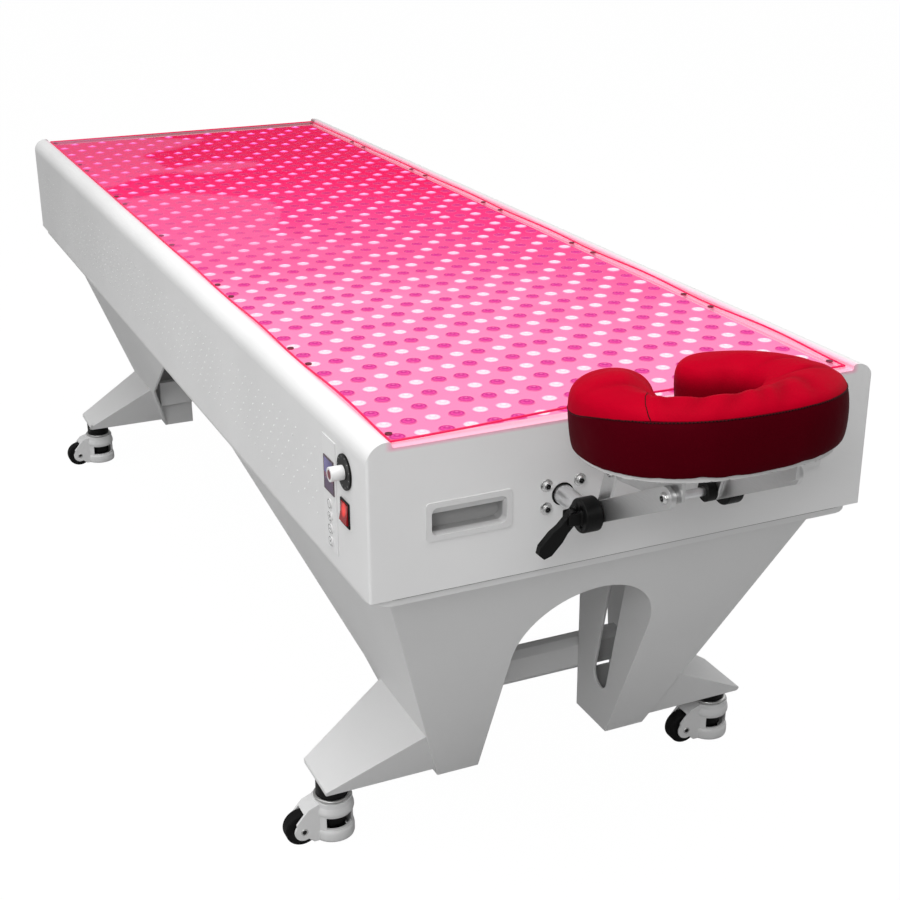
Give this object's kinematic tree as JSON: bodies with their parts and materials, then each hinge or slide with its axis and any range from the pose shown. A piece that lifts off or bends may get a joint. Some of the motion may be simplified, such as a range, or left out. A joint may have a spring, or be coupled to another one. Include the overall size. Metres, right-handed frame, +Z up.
{
  "type": "red light therapy bed",
  "caption": "Wheeled red light therapy bed with a lit flat deck under a clear sheet, splayed trestle legs on levelling casters, side controls and a padded face cradle.",
  "frame": {"origin": "on the floor under the middle of the bed's overall box", "axes": "+Y from the head end with the face cradle to the foot end, +X to the right as seen from the head end, +Z up"},
  "size_m": [0.778, 2.3557, 0.7822],
  "materials": {
    "housing_white": "satin moulded plastic",
    "clear_sheet": "clear acrylic sheet lit from below",
    "light_plate": "pink lit reflector",
    "board_green": "printed board",
    "zinc": "zinc plated",
    "cup_grey": "fine grain plastic",
    "black_plastic": "black moulded plastic",
    "overlay_white": "membrane film",
    "display_glass": "tinted display lens",
    "knob_white": "gloss plastic",
    "rocker_red": "translucent red rocker",
    "driver_alloy": "folded sheet",
    "frame_grey": "powder coat",
    "chrome_post": "polished tube",
    "arm_alloy": "satin flat bar",
    "platform_white": "moulded plate",
    "cushion_red": "soft vinyl leather",
    "caster_white": "nylon",
    "wheel_black": "black tread",
    "pad_black": "levelling pad"
  },
  "bodies": {
    "bed": {"housing_shell": "housing_white", "base_tray": "housing_white", "cover_sheet": "clear_sheet", "led_plate": "light_plate", "led_boards": "board_green", "sheet_screws": "zinc", "handle_cup_left": "cup_grey", "handle_cup_right": "cup_grey", "post_socket_left": "black_plastic", "post_socket_right": "black_plastic", "socket_screws": "zinc", "control_overlay": "overlay_white", "display_screen": "display_glass", "dial_plate": "black_plastic", "rocker_bezel": "black_plastic", "power_inlet": "black_plastic", "driver_boxes": "driver_alloy", "trestle_head": "frame_grey", "trestle_foot": "frame_grey", "stretcher_head": "frame_grey", "stretcher_foot": "frame_grey", "frame_bolts": "zinc", "caster_mounts": "black_plastic"},
    "dial": {"dial_knob": "knob_white"},
    "rocker": {"rocker_switch": "rocker_red"},
    "cradle_base": {"cradle_post_left": "chrome_post", "cradle_post_right": "chrome_post", "cradle_hub_left": "black_plastic", "cradle_hub_right": "black_plastic", "cradle_rod": "chrome_post", "rod_spacers": "black_plastic"},
    "cradle_head": {"cradle_arm_left": "arm_alloy", "cradle_arm_right": "arm_alloy", "cradle_bracket_left": "arm_alloy", "cradle_bracket_right": "arm_alloy", "cradle_platform": "platform_white", "face_cushion": "cushion_red", "pivot_screws": "zinc"},
    "cam": {"cradle_lever": "black_plastic"},
    "button_1": {"button_1": "overlay_white"},
    "button_2": {"button_2": "overlay_white"},
    "button_3": {"button_3": "overlay_white"},
    "button_4": {"button_4": "overlay_white"},
    "swivel_head_left": {"caster_body_head_left": "caster_white"},
    "wheel_head_left": {"caster_wheel_head_left": "wheel_black"},
    "adjuster_head_left": {"caster_adjuster_head_left": "black_plastic"},
    "pad_head_left": {"caster_pad_head_left": "pad_black"},
    "swivel_head_right": {"caster_body_head_right": "caster_white"},
    "wheel_head_right": {"caster_wheel_head_right": "wheel_black"},
    "adjuster_head_right": {"caster_adjuster_head_right": "black_plastic"},
    "pad_head_right": {"caster_pad_head_right": "pad_black"},
    "swivel_foot_left": {"caster_body_foot_left": "caster_white"},
    "wheel_foot_left": {"caster_wheel_foot_left": "wheel_black"},
    "adjuster_foot_left": {"caster_adjuster_foot_left": "black_plastic"},
    "pad_foot_left": {"caster_pad_foot_left": "pad_black"},
    "swivel_foot_right": {"caster_body_foot_right": "caster_white"},
    "wheel_foot_right": {"caster_wheel_foot_right": "wheel_black"},
    "adjuster_foot_right": {"caster_adjuster_foot_right": "black_plastic"},
    "pad_foot_right": {"caster_pad_foot_right": "pad_black"}
  },
  "joints": [
    {"name": "button_1_press", "type": "slide", "parent": "bed", "child": "button_1", "axis": [1, 0, 0], "range_m": [0, 0.001], "stiffness_N_per_m": 800},
    {"name": "button_2_press", "type": "slide", "parent": "bed", "child": "button_2", "axis": [1, 0, 0], "range_m": [0, 0.001], "stiffness_N_per_m": 800},
    {"name": "button_3_press", "type": "slide", "parent": "bed", "child": "button_3", "axis": [1, 0, 0], "range_m": [0, 0.001], "stiffness_N_per_m": 800},
    {"name": "button_4_press", "type": "slide", "parent": "bed", "child": "button_4", "axis": [1, 0, 0], "range_m": [0, 0.001], "stiffness_N_per_m": 800},
    {"name": "dial_turn", "type": "hinge", "parent": "bed", "child": "dial", "pos_m": [-0.35, -0.839, 0.641], "axis": [-1, 0, 0], "range_deg": [-140, 140]},
    {"name": "rocker_tip", "type": "hinge", "parent": "bed", "child": "rocker", "pos_m": [-0.348, -0.837, 0.588], "axis": [0, 1, 0], "range_deg": [-13, 0]},
    {"name": "swivel_turn_head_left", "type": "hinge", "parent": "bed", "child": "swivel_head_left", "pos_m": [-0.316, -0.645, 0.07], "axis": [0, 0, 1], "continuous": true},
    {"name": "wheel_roll_head_left", "type": "hinge", "parent": "swivel_head_left", "child": "wheel_head_left", "pos_m": [-0.364, -0.645, 0.025], "axis": [0, 1, 0], "continuous": true},
    {"name": "adjuster_turn_head_left", "type": "hinge", "parent": "swivel_head_left", "child": "adjuster_head_left", "pos_m": [-0.316, -0.645, 0.04], "axis": [0, 0, 1], "range_deg": [0, 1440]},
    {"name": "pad_lower_head_left", "type": "slide", "parent": "swivel_head_left", "child": "pad_head_left", "axis": [0, 0, -1], "range_m": [0, 0.0061]},
    {"name": "swivel_turn_head_right", "type": "hinge", "parent": "bed", "child": "swivel_head_right", "pos_m": [0.316, -0.645, 0.07], "axis": [0, 0, 1], "continuous": true},
    {"name": "wheel_roll_head_right", "type": "hinge", "parent": "swivel_head_right", "child": "wheel_head_right", "pos_m": [0.268, -0.645, 0.025], "axis": [0, 1, 0], "continuous": true},
    {"name": "adjuster_turn_head_right", "type": "hinge", "parent": "swivel_head_right", "child": "adjuster_head_right", "pos_m": [0.316, -0.645, 0.04], "axis": [0, 0, 1], "range_deg": [0, 1440]},
    {"name": "pad_lower_head_right", "type": "slide", "parent": "swivel_head_right", "child": "pad_head_right", "axis": [0, 0, -1], "range_m": [0, 0.0061]},
    {"name": "swivel_turn_foot_left", "type": "hinge", "parent": "bed", "child": "swivel_foot_left", "pos_m": [-0.316, 0.915, 0.07], "axis": [0, 0, 1], "continuous": true},
    {"name": "wheel_roll_foot_left", "type": "hinge", "parent": "swivel_foot_left", "child": "wheel_foot_left", "pos_m": [-0.364, 0.915, 0.025], "axis": [0, 1, 0], "continuous": true},
    {"name": "adjuster_turn_foot_left", "type": "hinge", "parent": "swivel_foot_left", "child": "adjuster_foot_left", "pos_m": [-0.316, 0.915, 0.04], "axis": [0, 0, 1], "range_deg": [0, 1440]},
    {"name": "pad_lower_foot_left", "type": "slide", "parent": "swivel_foot_left", "child": "pad_foot_left", "axis": [0, 0, -1], "range_m": [0, 0.0061]},
    {"name": "swivel_turn_foot_right", "type": "hinge", "parent": "bed", "child": "swivel_foot_right", "pos_m": [0.316, 0.915, 0.07], "axis": [0, 0, 1], "continuous": true},
    {"name": "wheel_roll_foot_right", "type": "hinge", "parent": "swivel_foot_right", "child": "wheel_foot_right", "pos_m": [0.364, 0.915, 0.025], "axis": [0, 1, 0], "continuous": true},
    {"name": "adjuster_turn_foot_right", "type": "hinge", "parent": "swivel_foot_right", "child": "adjuster_foot_right", "pos_m": [0.316, 0.915, 0.04], "axis": [0, 0, 1], "range_deg": [0, 1440]},
    {"name": "pad_lower_foot_right", "type": "slide", "parent": "swivel_foot_right", "child": "pad_foot_right", "axis": [0, 0, -1], "range_m": [0, 0.0061]},
    {"name": "cradle_slide", "type": "slide", "parent": "bed", "child": "cradle_base", "axis": [0, -1, 0], "range_m": [-0.01, 0.06]},
    {"name": "cradle_tilt", "type": "hinge", "parent": "cradle_base", "child": "cradle_head", "pos_m": [-0.006, -0.973, 0.595], "axis": [-1, 0, 0], "range_deg": [-25, 6]},
    {"name": "cam_swing", "type": "hinge", "parent": "cradle_base", "child": "cam", "pos_m": [-0.1235, -0.973, 0.595], "axis": [0, 1, 0], "range_deg": [-30, 46]}
  ],
  "couplings": [
    {"joint": "pad_lower_head_left", "follows": "adjuster_turn_head_left", "m_per_rad": 0.00023873},
    {"joint": "pad_lower_head_right", "follows": "adjuster_turn_head_right", "m_per_rad": 0.00023873},
    {"joint": "pad_lower_foot_left", "follows": "adjuster_turn_foot_left", "m_per_rad": 0.00023873},
    {"joint": "pad_lower_foot_right", "follows": "adjuster_turn_foot_right", "m_per_rad": 0.00023873}
  ]
}
